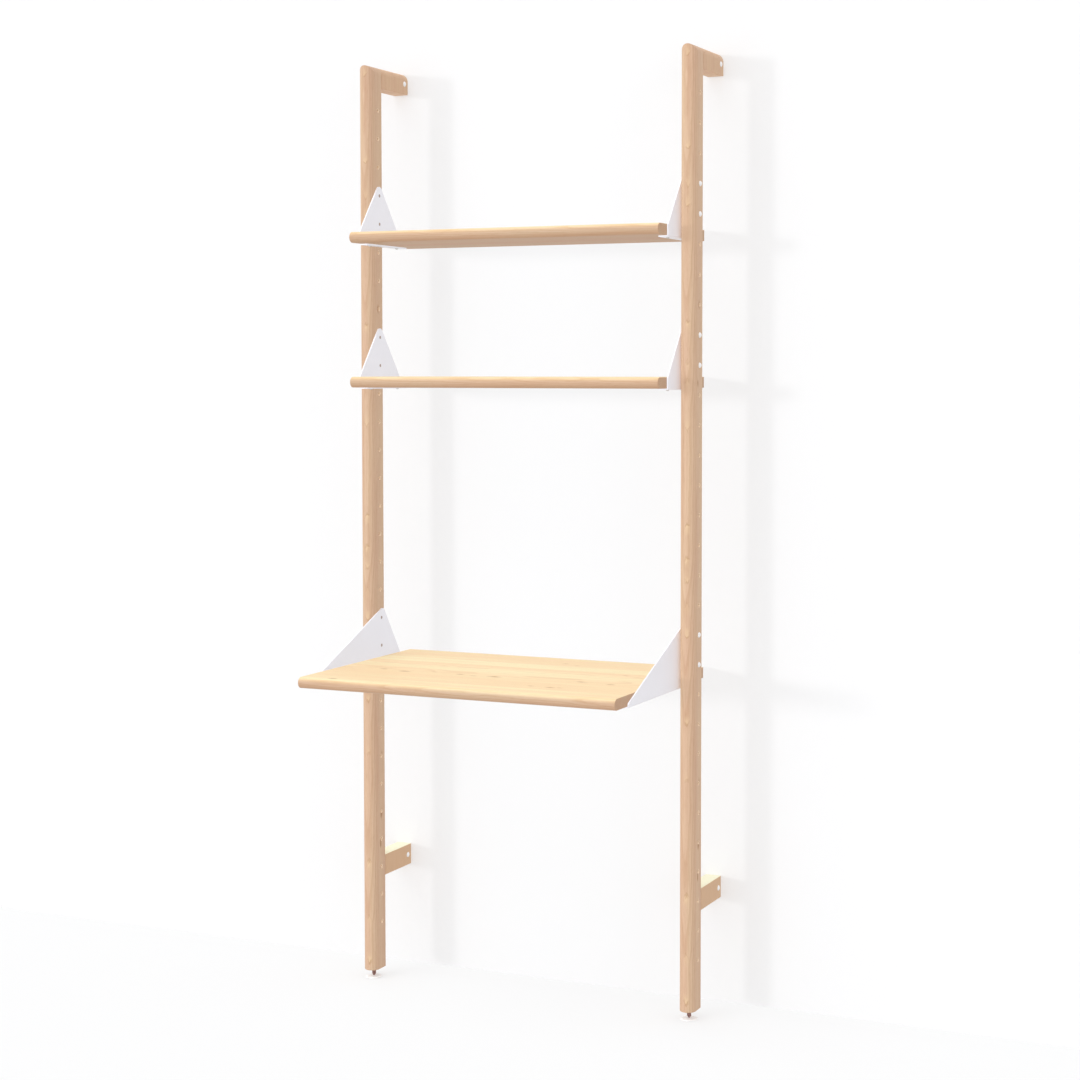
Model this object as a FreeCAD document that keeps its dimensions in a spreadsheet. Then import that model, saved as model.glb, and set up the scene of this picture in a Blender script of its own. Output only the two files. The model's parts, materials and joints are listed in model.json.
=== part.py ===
import FreeCAD, Part
import os
import Sketcher

# Desk with shelves. Two wooden uprights stand on levelling feet and reach back to the wall
# with two arms each.
# Folded steel brackets, bolted to a row of holes in the uprights, carry two shelves and a desk top.
# Frame: +X to the right as seen from the front, +Y towards the wall, +Z up, floor at zero,
# with X and Y zero in the middle of the overall width and depth.

# Driving dimensions in millimetres, and counts.
SIZES = {
    # uprights and the row of holes
    "upright_spacing": 780,
    "upright_width": 36,
    "upright_depth": 48,
    "upright_length": 2065,
    "upright_back_radius": 2,
    "upright_foot_radius": 1.5,
    "floor_gap": 20,
    "hole_pitch": 64,
    "hole_end_margin": 90,
    "hole_diameter": 7.5,
    "hole_setback": 17.5,
    "hole_mouth_chamfer": 0.8,
    "first_hole_height": 110,
    # wall arms
    "arm_reach": 122,
    "arm_height": 48,
    "arm_edge_radius": 1,
    "holes_below_lower_arm_count": 2,
    "dowel_diameter": 10,
    "dowel_depth": 20,
    "dowel_spacing": 22,
    # shelves and desk top
    "board_thickness": 24,
    "board_edge_radius": 1,
    "shelf_depth": 270,
    "desk_depth": 495,
    "wall_gap": 7.5,
    "board_drop": 25,
    "holes_below_desk_count": 10,
    "holes_between_shelves_count": 5,
    "holes_above_top_shelf_count": 4,
    # folded brackets
    "plate_thickness": 3,
    "bend_radius": 1,
    "flange_width": 24,
    "flange_corner_radius": 4,
    "bracket_half_length": 90,
    "desk_bracket_front_length": 300,
    "shelf_apex_rise": 28,
    "desk_apex_rise": 23.5,
    "desk_apex_setback": 9,
    "apex_radius": 12,
    "shoulder_radius": 5,
    "desk_front_shoulder": 10,
    "desk_rear_shoulder": 20,
    # bolts of the brackets
    "bolt_diameter": 6,
    "bolt_head_diameter": 12,
    "bolt_head_height": 4,
    "bolt_end_recess": 0.5,
    # wood screws of the boards
    "screw_diameter": 4,
    "screw_length": 18,
    "screw_head_diameter": 8,
    "screw_head_height": 2.5,
    "screw_reach": 60,
    # wall brackets and their lock bolts
    "wall_plate_width": 24,
    "wall_plate_height": 34,
    "wall_plate_thickness": 4,
    "wall_plate_radius": 3,
    "wall_hole_diameter": 4.5,
    "wall_hole_spacing": 23,
    "wall_screw_room_diameter": 10,
    "wall_screw_room_depth": 4,
    "tongue_thickness": 5,
    "tongue_height": 14,
    "tongue_length": 22,
    "lock_bolt_inset": 15,
    "lock_bolt_diameter": 5,
    "lock_sleeve_diameter": 7,
    "lock_head_diameter": 12,
    "lock_head_height": 3,
    # levelling feet
    "stud_diameter": 9.5,
    "stud_engagement": 40,
    "stud_neck_height": 8.5,
    "insert_diameter": 13,
    "insert_length": 28,
    "stud_bore_depth": 54,
    "pad_diameter": 40,
    "pad_rim_height": 3,
    "pad_rim_radius": 1.5,
    "pad_height": 8,
    "pad_neck_diameter": 16,
    "pin_diameter": 5,
    "pin_length": 5,
    # clearances
    "fit_clearance": 0.05,
    "glue_clearance": 0.1,
    "joint_gap": 0.3,
    "loose_clearance": 0.5,
    "cut_overrun": 5,
}

# Shares of a size, which have no length of their own.
LOCK_OVERLAP_SHARE = 0.7
MATCH_SHARE = 0.01

LEFT = -1
RIGHT = 1

X_DIRECTION = FreeCAD.Vector(1, 0, 0)
Y_DIRECTION = FreeCAD.Vector(0, 1, 0)
Z_DIRECTION = FreeCAD.Vector(0, 0, 1)

doc = FreeCAD.newDocument("desk_with_shelves")
sheet = doc.addObject("Spreadsheet::Sheet", "sizes")
for row, (alias, size) in enumerate(SIZES.items(), start=1):
    sheet.set(f"A{row}", alias)
    sheet.set(f"B{row}", str(size))
    sheet.setAlias(f"B{row}", alias)
doc.recompute()

# Places that several pieces share, as expressions on the sheet.
WALL_Y = "(sizes.desk_depth + sizes.wall_gap) / 2"
UPRIGHT_BACK_Y = f"({WALL_Y} - sizes.arm_reach)"
HOLE_LINE_Y = f"({UPRIGHT_BACK_Y} - sizes.hole_setback)"
FIRST_HOLE_Z = "(sizes.floor_gap + sizes.first_hole_height)"
HOLE_ROW_LENGTH = "(sizes.upright_length - sizes.first_hole_height - sizes.hole_end_margin)"
HOLE_COUNT = f"(floor({HOLE_ROW_LENGTH} / sizes.hole_pitch) + 1)"
DESK_STEP = "sizes.holes_below_desk_count"
TOP_SHELF_STEP = f"({HOLE_COUNT} - 1 - sizes.holes_above_top_shelf_count)"
MIDDLE_SHELF_STEP = f"({TOP_SHELF_STEP} - sizes.holes_between_shelves_count)"
INNER_FACE_X = "(sizes.upright_spacing - sizes.upright_width) / 2"
OUTER_FACE_X = "(sizes.upright_spacing + sizes.upright_width) / 2"
LOWER_ARM_RISE = "(sizes.holes_below_lower_arm_count * sizes.hole_pitch)"
LOWER_ARM_BOTTOM = f"(sizes.first_hole_height + {LOWER_ARM_RISE} - sizes.arm_height / 2)"
UPPER_ARM_BOTTOM = "(sizes.upright_length - sizes.arm_height)"
BRACKET_BOTTOM = "(-sizes.board_drop - sizes.board_thickness - sizes.plate_thickness)"
FLANGE_MIDDLE = "(sizes.plate_thickness + sizes.flange_width) / 2"
FOOT_CENTRE_Y = "(-sizes.upright_depth / 2)"


def value(expression):
    """Return the number that an expression on the sheet stands for."""
    return float(sheet.evalExpression(expression))


def origin_feature(body, role):
    """Return the origin plane or axis of a body by its role."""
    return next(item for item in body.Origin.OriginFeatures if item.Role == role)


def new_body(label):
    """Start a body with the name of its node."""
    body = doc.addObject("PartDesign::Body", label)
    body.Label = label
    return body


def place(item, x="0", y="0", z="0", rotation=None):
    """Place an object by expressions on the sheet."""
    if rotation is not None:
        item.Placement = FreeCAD.Placement(FreeCAD.Vector(), rotation)
    item.setExpression("Placement.Base.x", x)
    item.setExpression("Placement.Base.y", y)
    item.setExpression("Placement.Base.z", z)


def new_sketch(body, name, plane, offset="0"):
    """Attach an empty sketch to an origin plane, moved along the plane's normal by an expression."""
    sketch = body.newObject("Sketcher::SketchObject", name)
    sketch.AttachmentSupport = [(origin_feature(body, plane), "")]
    sketch.MapMode = "FlatFace"
    sketch.setExpression("AttachmentOffset.Base.z", offset)
    return sketch


def pin_point(sketch, geometry, position, x, y):
    """Fix a point of a sketch by two distances from the sketch's origin."""
    for kind, expression in (("DistanceX", x), ("DistanceY", y)):
        pin_distance(sketch, geometry, position, kind, expression)


def pin_distance(sketch, geometry, position, kind, expression):
    """Fix one coordinate of a point of a sketch by an expression."""
    index = sketch.addConstraint(
        Sketcher.Constraint(kind, -1, 1, geometry, position, value(expression))
    )
    sketch.setExpression(f"Constraints[{index}]", expression)


def add_circle(sketch, x, y, diameter):
    """Add a circle with its centre and diameter bound to expressions."""
    centre = FreeCAD.Vector(value(x), value(y), 0)
    circle = Part.Circle(centre, Z_DIRECTION, value(diameter) / 2)
    geometry = sketch.addGeometry(circle)
    pin_point(sketch, geometry, 3, x, y)
    index = sketch.addConstraint(Sketcher.Constraint("Diameter", geometry, value(diameter)))
    sketch.setExpression(f"Constraints[{index}]", diameter)


def add_outline(sketch, points):
    """Add a closed outline of lines and arcs.

    A point is (x, y), or (x, y, centre x, centre y) where an arc leads to the next point.
    An arc takes the short way about its centre, and a half circle runs counter-clockwise.
    """
    corners = [FreeCAD.Vector(value(point[0]), value(point[1]), 0) for point in points]
    pieces = []
    for number, point in enumerate(points):
        end = corners[(number + 1) % len(points)]
        pieces.append(add_stretch(sketch, corners[number], end, point[2:]))
    for number, (piece, start, end) in enumerate(pieces):
        following, following_start, _ = pieces[(number + 1) % len(pieces)]
        sketch.addConstraint(Sketcher.Constraint("Coincident", piece, end, following, following_start))
    for number, point in enumerate(points):
        piece, start, _ = pieces[number]
        pin_point(sketch, piece, start, point[0], point[1])
        if len(point) == 2:
            continue
        chord = corners[(number + 1) % len(points)] - corners[number]
        if abs(chord.x) < abs(chord.y):
            pin_distance(sketch, piece, 3, "DistanceX", point[2])
        else:
            pin_distance(sketch, piece, 3, "DistanceY", point[3])


def add_stretch(sketch, start, end, centre):
    """Add a line, or an arc about a centre, and return it with the positions of its start and end."""
    if not centre:
        return sketch.addGeometry(Part.LineSegment(start, end)), 1, 2
    middle = FreeCAD.Vector(value(centre[0]), value(centre[1]), 0)
    circle = Part.Circle(middle, Z_DIRECTION, (start - middle).Length)
    turn = (start - middle).cross(end - middle).z / circle.Radius ** 2
    if turn > -MATCH_SHARE:
        arc = Part.ArcOfCircle(circle, circle.parameter(start), circle.parameter(end))
        return sketch.addGeometry(arc), 1, 2
    arc = Part.ArcOfCircle(circle, circle.parameter(end), circle.parameter(start))
    return sketch.addGeometry(arc), 2, 1


def pad(body, name, sketch, length, back=False, both=False):
    """Pad a sketch by an expression, along its normal, against it or half to each side."""
    feature = body.newObject("PartDesign::Pad", name)
    feature.Profile = sketch
    feature.Reversed = back
    feature.SideType = "Symmetric" if both else "One side"
    feature.setExpression("Length", length)
    return feature


def pocket(body, name, sketch, depth=None, back=False):
    """Cut a sketch to a depth, against its normal or along it, or right through to both sides."""
    doc.recompute()
    before = body.Shape.Volume
    feature = body.newObject("PartDesign::Pocket", name)
    feature.Profile = sketch
    feature.Reversed = back
    if depth is None:
        feature.SideType = "Two sides"
        feature.Type = "ThroughAll"
        feature.Type2 = "ThroughAll"
    else:
        feature.setExpression("Length", depth)
    doc.recompute()
    if body.Shape.Volume >= before:
        raise RuntimeError(f"{body.Label}: {name} cuts nothing")
    return feature


def revolve(body, name, sketch, axis):
    """Turn a sketch about one of the body's axes."""
    feature = body.newObject("PartDesign::Revolution", name)
    feature.Profile = sketch
    feature.ReferenceAxis = (origin_feature(body, axis), [""])
    return feature


def fillet(body, name, direction, places, radius):
    """Round the straight edges that run along a direction through the given places."""
    doc.recompute()
    base = body.Tip
    reach = value("sizes.fit_clearance")
    names = []
    for x, y, z in places:
        spot = FreeCAD.Vector(value(x), value(y), value(z))
        names += [
            f"Edge{number}"
            for number, edge in enumerate(base.Shape.Edges, start=1)
            if is_edge_at(edge, direction, spot, reach)
        ]
    if not names:
        raise RuntimeError(f"{body.Label}: {name} finds no edge")
    feature = body.newObject("PartDesign::Fillet", name)
    feature.Base = (base, names)
    feature.setExpression("Radius", radius)
    return feature


def ease_faces(body, name, directions, radius):
    """Round every edge of the flat faces that look along the given directions."""
    doc.recompute()
    base = body.Tip
    names = [
        f"Face{number}"
        for number, face in enumerate(base.Shape.Faces, start=1)
        if any(is_face_towards(face, direction) for direction in directions)
    ]
    if not names:
        raise RuntimeError(f"{body.Label}: {name} finds no face")
    feature = body.newObject("PartDesign::Fillet", name)
    feature.Base = (base, names)
    feature.setExpression("Radius", radius)
    return feature


def is_face_towards(face, direction):
    """Tell whether a flat face looks along a direction."""
    if face.Surface.TypeId != "Part::GeomPlane":
        return False
    return (face.normalAt(0, 0) - direction).Length < MATCH_SHARE


def is_edge_at(edge, direction, spot, reach):
    """Tell whether a straight edge runs along a direction and its line passes through a spot."""
    if edge.Curve.TypeId != "Part::GeomLine":
        return False
    if edge.Curve.Direction.cross(direction).Length > MATCH_SHARE:
        return False
    offset = (spot - edge.Vertexes[0].Point).cross(direction)
    return offset.Length < reach


def cut_holes(body, sketch_name, plane, places, diameter, name, depth=None, back=False, offset="0"):
    """Cut round holes of one diameter at several places of a plane, moved along its normal."""
    sketch = new_sketch(body, sketch_name, plane, offset)
    for x, y in places:
        add_circle(sketch, x, y, diameter)
    return pocket(body, name, sketch, depth, back)


def chamfer_mouths(body, name, mouths, size):
    """Chamfer the round mouths of holes along X. A mouth is (x of its plane, radius)."""
    doc.recompute()
    base = body.Tip
    reach = value("sizes.fit_clearance")
    spots = [(value(x), value(radius)) for x, radius in mouths]
    names = [
        f"Edge{number}"
        for number, edge in enumerate(base.Shape.Edges, start=1)
        if any(is_mouth(edge, x, radius, reach) for x, radius in spots)
    ]
    if not names:
        raise RuntimeError(f"{body.Label}: {name} finds no mouth")
    feature = body.newObject("PartDesign::Chamfer", name)
    feature.Base = (base, names)
    feature.setExpression("Size", size)
    return feature


def is_mouth(edge, x, radius, reach):
    """Tell whether an edge is a circle of one radius on a plane across X."""
    if edge.Curve.TypeId != "Part::GeomCircle":
        return False
    on_plane = abs(edge.Curve.Center.x - x) < reach
    return on_plane and abs(edge.Curve.Radius - radius) < reach


def dowel_levels(arm_bottom):
    """Return the heights of the two dowels of an arm."""
    middle = f"({arm_bottom} + sizes.arm_height / 2)"
    return [f"{middle} - sizes.dowel_spacing / 2", f"{middle} + sizes.dowel_spacing / 2"]


def upright(label, side):
    """Build an upright: rounded front and top, a row of holes, dowel holes and the bore of its foot."""
    body = new_body(label)
    half = "sizes.upright_width / 2"
    round_start = f"(-sizes.upright_depth + {half})"

    section = new_sketch(body, "section", "XY_Plane")
    add_outline(section, [
        (f"-{half}", round_start, "0", round_start),
        (half, round_start),
        (half, "0"),
        (f"-{half}", "0"),
    ])
    pad(body, "post", section, "sizes.upright_length")
    back_corners = [(f"-{half}", "0", "0"), (half, "0", "0")]
    fillet(body, "eased_back", Z_DIRECTION, back_corners, "sizes.upright_back_radius")
    ease_faces(body, "eased_foot", [-Z_DIRECTION], "sizes.upright_foot_radius")

    # The top is rounded like the front, so that the two roundings meet in a mitre.
    shoulder = f"(sizes.upright_length - {half})"
    above = "sizes.upright_length + sizes.cut_overrun"
    beside = f"({half} + sizes.cut_overrun)"
    top = new_sketch(body, "top_profile", "XZ_Plane")
    add_outline(top, [
        (half, shoulder, "0", shoulder),
        (f"-{half}", shoulder),
        (f"-{beside}", shoulder),
        (f"-{beside}", above),
        (beside, above),
        (beside, shoulder),
    ])
    pocket(body, "rounded_top", top)

    first = cut_holes(
        body, "first_hole_sketch", "YZ_Plane", [("-sizes.hole_setback", "sizes.first_hole_height")],
        "sizes.hole_diameter", "first_hole",
    )
    row_of_holes = body.newObject("PartDesign::LinearPattern", "row_of_holes")
    row_of_holes.Originals = [first]
    row_of_holes.Direction = (origin_feature(body, "Z_Axis"), [""])
    row_of_holes.setExpression("Length", f"sizes.hole_pitch * ({HOLE_COUNT} - 1)")
    row_of_holes.setExpression("Occurrences", HOLE_COUNT)
    body.Tip = row_of_holes
    mouths = [(f"{end} * {half}", "sizes.hole_diameter / 2") for end in (LEFT, RIGHT)]
    chamfer_mouths(body, "eased_mouths", mouths, "sizes.hole_mouth_chamfer")

    dowel_places = [("0", level) for level in dowel_levels(LOWER_ARM_BOTTOM) + dowel_levels(UPPER_ARM_BOTTOM)]
    cut_holes(
        body, "dowel_hole_sketch", "XZ_Plane", dowel_places,
        "sizes.dowel_diameter + 2 * sizes.glue_clearance", "dowel_holes",
        "sizes.dowel_depth + sizes.loose_clearance", back=True,
    )
    cut_holes(
        body, "insert_bore_sketch", "XY_Plane", [("0", FOOT_CENTRE_Y)],
        "sizes.insert_diameter + 2 * sizes.glue_clearance", "insert_bore", "sizes.insert_length", back=True,
    )
    cut_holes(
        body, "stud_bore_sketch", "XY_Plane", [("0", FOOT_CENTRE_Y)],
        "sizes.stud_diameter + 2 * sizes.loose_clearance", "stud_bore", "sizes.stud_bore_depth", back=True,
    )
    place(body, f"{side} * sizes.upright_spacing / 2", UPRIGHT_BACK_Y, "sizes.floor_gap")
    return body


def arm(label, side, bottom, rounded):
    """Build a wall arm, with dowel holes in front and the seat of its wall bracket behind."""
    body = new_body(label)
    half = "sizes.upright_width / 2"
    section = new_sketch(body, "section", "XZ_Plane")
    if rounded:
        shoulder = f"(sizes.arm_height - {half})"
        upper = [(half, shoulder, "0", shoulder), (f"-{half}", shoulder)]
    else:
        upper = [(half, "sizes.arm_height"), (f"-{half}", "sizes.arm_height")]
    lower = [(f"-{half}", "0"), (half, "0")]
    add_outline(section, lower + upper)
    pad(body, "beam", section, "sizes.arm_reach", back=True)
    sharp = lower if rounded else lower + upper
    fillet(body, "eased_edges", Y_DIRECTION, [(x, "0", z) for x, z in sharp], "sizes.arm_edge_radius")

    cut_holes(
        body, "dowel_hole_sketch", "XZ_Plane", [("0", level) for level in dowel_levels("0")],
        "sizes.dowel_diameter + 2 * sizes.glue_clearance", "dowel_holes",
        "sizes.dowel_depth + sizes.loose_clearance",
    )

    middle = "sizes.arm_height / 2"
    recess = new_sketch(body, "plate_recess_sketch", "XZ_Plane", "-sizes.arm_reach")
    add_rectangle(
        recess, "0", middle,
        "sizes.wall_plate_width + 2 * sizes.loose_clearance",
        "sizes.wall_plate_height + 2 * sizes.loose_clearance",
    )
    pocket(body, "plate_recess", recess, "sizes.wall_plate_thickness", back=True)
    cut_holes(
        body, "screw_room_sketch", "XZ_Plane", wall_hole_places(middle),
        "sizes.wall_screw_room_diameter", "screw_room",
        "sizes.wall_plate_thickness + sizes.wall_screw_room_depth", back=True, offset="-sizes.arm_reach",
    )
    slot = new_sketch(body, "tongue_slot_sketch", "XZ_Plane", "-sizes.arm_reach")
    add_rectangle(
        slot, "0", middle,
        "sizes.tongue_thickness + 2 * sizes.joint_gap",
        "sizes.tongue_height + 2 * sizes.loose_clearance",
    )
    slot_depth = "sizes.wall_plate_thickness + sizes.tongue_length + sizes.loose_clearance"
    pocket(body, "tongue_slot", slot, slot_depth, back=True)
    cut_holes(
        body, "lock_hole_sketch", "YZ_Plane", [("sizes.arm_reach - sizes.lock_bolt_inset", middle)],
        "sizes.lock_sleeve_diameter + 2 * sizes.glue_clearance", "lock_hole",
    )
    place(body, f"{side} * sizes.upright_spacing / 2", UPRIGHT_BACK_Y, f"sizes.floor_gap + {bottom}")
    return body


def add_rectangle(sketch, x, y, width, height):
    """Add a rectangle about a centre."""
    left = f"({x}) - ({width}) / 2"
    right = f"({x}) + ({width}) / 2"
    low = f"({y}) - ({height}) / 2"
    high = f"({y}) + ({height}) / 2"
    add_outline(sketch, [(left, low), (right, low), (right, high), (left, high)])


def wall_hole_places(middle):
    """Return the places of the two wall screws about a height."""
    return [("0", f"{middle} {sign} sizes.wall_hole_spacing / 2") for sign in "+-"]


def wall_bracket(label, side, bottom):
    """Build a wall bracket: a small plate for two wall screws, with a tongue that the arm slides over."""
    body = new_body(label)
    plate = new_sketch(body, "plate_sketch", "XZ_Plane")
    add_rectangle(plate, "0", "0", "sizes.wall_plate_width", "sizes.wall_plate_height")
    pad(body, "plate", plate, "sizes.wall_plate_thickness")
    half_width = "sizes.wall_plate_width / 2"
    half_height = "sizes.wall_plate_height / 2"
    corners = [(f"{a} * {half_width}", "0", f"{b} * {half_height}") for a in (-1, 1) for b in (-1, 1)]
    fillet(body, "plate_corners", Y_DIRECTION, corners, "sizes.wall_plate_radius")
    tongue = new_sketch(body, "tongue_sketch", "XZ_Plane")
    add_rectangle(tongue, "0", "0", "sizes.tongue_thickness", "sizes.tongue_height")
    pad(body, "tongue", tongue, "sizes.wall_plate_thickness + sizes.tongue_length")
    cut_holes(
        body, "wall_hole_sketch", "XZ_Plane", wall_hole_places("0"), "sizes.wall_hole_diameter", "wall_holes",
    )
    cut_holes(
        body, "lock_hole_sketch", "YZ_Plane", [("-sizes.lock_bolt_inset", "0")],
        "sizes.lock_sleeve_diameter + 2 * sizes.glue_clearance", "lock_hole",
    )
    place(
        body, f"{side} * sizes.upright_spacing / 2", WALL_Y,
        f"sizes.floor_gap + {bottom} + sizes.arm_height / 2",
    )
    return body


def screw_places(desk):
    """Return the places of the flange screws along the depth, counted from the line of holes."""
    rear = "sizes.screw_reach"
    if not desk:
        return [rear, "-sizes.screw_reach"]
    front = "(-sizes.desk_bracket_front_length + sizes.bracket_half_length - sizes.screw_reach)"
    return [rear, front, f"({rear} + {front}) / 2"]


def board(label, depth, step, desk):
    """Build a shelf or the desk top: a board with a bullnose front and pilot holes for its screws."""
    body = new_body(label)
    half = "sizes.board_thickness / 2"
    section = new_sketch(body, "section", "YZ_Plane")
    add_outline(section, [
        (f"-{depth} + {half}", "sizes.board_thickness", f"-{depth} + {half}", half),
        (f"-{depth} + {half}", "0"),
        ("0", "0"),
        ("0", "sizes.board_thickness"),
    ])
    end_gap = "(sizes.plate_thickness + sizes.bend_radius + sizes.glue_clearance)"
    pad(body, "panel", section, f"2 * ({INNER_FACE_X} - {end_gap})", both=True)
    ease_faces(body, "eased_edges", [X_DIRECTION, -X_DIRECTION, Y_DIRECTION], "sizes.board_edge_radius")
    hole_line = "(sizes.wall_gap - sizes.arm_reach - sizes.hole_setback)"
    pilots = [
        (f"{side} * ({INNER_FACE_X} - {FLANGE_MIDDLE})", f"{hole_line} + {along}")
        for side in (LEFT, RIGHT)
        for along in screw_places(desk)
    ]
    cut_holes(
        body, "pilot_hole_sketch", "XY_Plane", pilots,
        "sizes.screw_diameter + 2 * sizes.glue_clearance", "pilot_holes",
        "sizes.screw_length - sizes.plate_thickness + sizes.loose_clearance", back=True,
    )
    top = f"{FIRST_HOLE_Z} + {step} * sizes.hole_pitch - sizes.board_drop"
    place(body, "0", f"{WALL_Y} - sizes.wall_gap", f"{top} - sizes.board_thickness")
    return body


def bracket(label, side, step, desk):
    """Build a folded bracket: a triangular plate bolted to the upright and a flange under the board.

    Its own origin is the lower bolt hole, on the face that lies against the upright.
    """
    body = new_body(label)
    inward = -side
    front = "sizes.desk_bracket_front_length" if desk else "sizes.bracket_half_length"
    rear = "sizes.bracket_half_length"
    apex_y = "sizes.desk_apex_setback" if desk else "0"
    apex_rise = "sizes.desk_apex_rise" if desk else "sizes.shelf_apex_rise"
    apex_z = f"(sizes.hole_pitch + {apex_rise})"
    board_top = "(-sizes.board_drop)"
    front_z = f"({BRACKET_BOTTOM} + sizes.desk_front_shoulder)" if desk else board_top
    rear_z = f"({BRACKET_BOTTOM} + sizes.desk_rear_shoulder)" if desk else board_top

    def across(expression):
        """Turn a distance from the upright into an x of this hand."""
        return f"{inward} * ({expression})"

    wall = "sizes.plate_thickness"
    outer = "(sizes.plate_thickness + sizes.bend_radius)"
    low = BRACKET_BOTTOM
    flange_top = f"({low} + {wall})"
    fold = new_sketch(body, "fold_section", "XZ_Plane", f"-{rear}")
    add_outline(fold, [
        (across("0"), apex_z),
        (across("0"), f"{low} + {outer}", across(outer), f"{low} + {outer}"),
        (across(outer), low),
        (across("sizes.flange_width"), low),
        (across("sizes.flange_width"), flange_top),
        (across(outer), flange_top, across(outer), f"{low} + {outer}"),
        (across(wall), f"{low} + {outer}"),
        (across(wall), apex_z),
    ])
    pad(body, "folded_strip", fold, f"{front} + {rear}")

    # Everything above the two sloping edges comes off.
    over = "sizes.cut_overrun"
    trim = new_sketch(body, "trim_sketch", "YZ_Plane")
    add_outline(trim, [
        (f"-{front}", front_z),
        (apex_y, apex_z),
        (rear, rear_z),
        (f"{rear} + {over}", rear_z),
        (f"{rear} + {over}", f"{apex_z} + {over}"),
        (f"-{front} - {over}", f"{apex_z} + {over}"),
        (f"-{front} - {over}", front_z),
    ])
    pocket(body, "sloping_edges", trim)
    cut_holes(
        body, "bolt_hole_sketch", "YZ_Plane", [("0", "0"), ("0", "sizes.hole_pitch")],
        "sizes.bolt_diameter + 2 * sizes.fit_clearance", "bolt_holes",
    )
    cut_holes(
        body, "screw_hole_sketch", "XY_Plane",
        [(across(FLANGE_MIDDLE), along) for along in screw_places(desk)],
        "sizes.screw_diameter + 2 * sizes.glue_clearance", "screw_holes",
    )
    fillet(body, "apex_round", X_DIRECTION, [("0", apex_y, apex_z)], "sizes.apex_radius")
    shoulders = [("0", f"-{front}", front_z), ("0", rear, rear_z)]
    fillet(body, "shoulder_round", X_DIRECTION, shoulders, "sizes.shoulder_radius")
    free_edge = across("sizes.flange_width")
    corners = [(free_edge, f"-{front}", "0"), (free_edge, rear, "0")]
    fillet(body, "flange_corners", Z_DIRECTION, corners, "sizes.flange_corner_radius")
    place(body, f"{side} * {INNER_FACE_X}", HOLE_LINE_Y, f"{FIRST_HOLE_Z} + {step} * sizes.hole_pitch")
    return body


def domed_pin(name, diameter, length, head_diameter, head_height):
    """Build a fastener with a domed head above its own XY plane and a plain shank below it."""
    body = new_body(name)
    profile = new_sketch(body, "profile", "XZ_Plane")
    head_radius = f"({head_diameter}) / 2"
    shank_radius = f"({diameter}) / 2"
    dome_centre = f"(({head_height}) ^ 2 - ({head_radius}) ^ 2) / (2 * ({head_height}))"
    add_outline(profile, [
        ("0", f"-({length})"),
        (shank_radius, f"-({length})"),
        (shank_radius, "0"),
        (head_radius, "0", "0", dome_centre),
        ("0", head_height),
    ])
    revolve(body, "turned", profile, "Z_Axis")
    return body


def sleeve_nut(name, length):
    """Build the sleeve nut of a lock bolt: a domed head with a hollow shank."""
    body = domed_pin(
        name, "sizes.lock_sleeve_diameter", length, "sizes.lock_head_diameter", "sizes.lock_head_height"
    )
    cut_holes(
        body, "thread_sketch", "XY_Plane", [("0", "0")],
        "sizes.lock_bolt_diameter + 2 * sizes.fit_clearance", "thread_bore", length,
    )
    return body


def group(label, form, places):
    """Join separate copies of one fastener in a node. A place is (x, y, z, rotation)."""
    copies = []
    for number, (x, y, z, rotation) in enumerate(places, start=1):
        copy = doc.addObject("App::Link", f"{label}_{number}")
        copy.LinkedObject = form
        place(copy, x, y, z, rotation)
        copies.append(copy)
    node = doc.addObject("Part::Compound", label)
    node.Label = label
    node.Links = copies
    return node


def sideways(side):
    """Return the turn that points a fastener's head outward along X on one side."""
    return FreeCAD.Rotation(Z_DIRECTION, FreeCAD.Vector(side, 0, 0))


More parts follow.
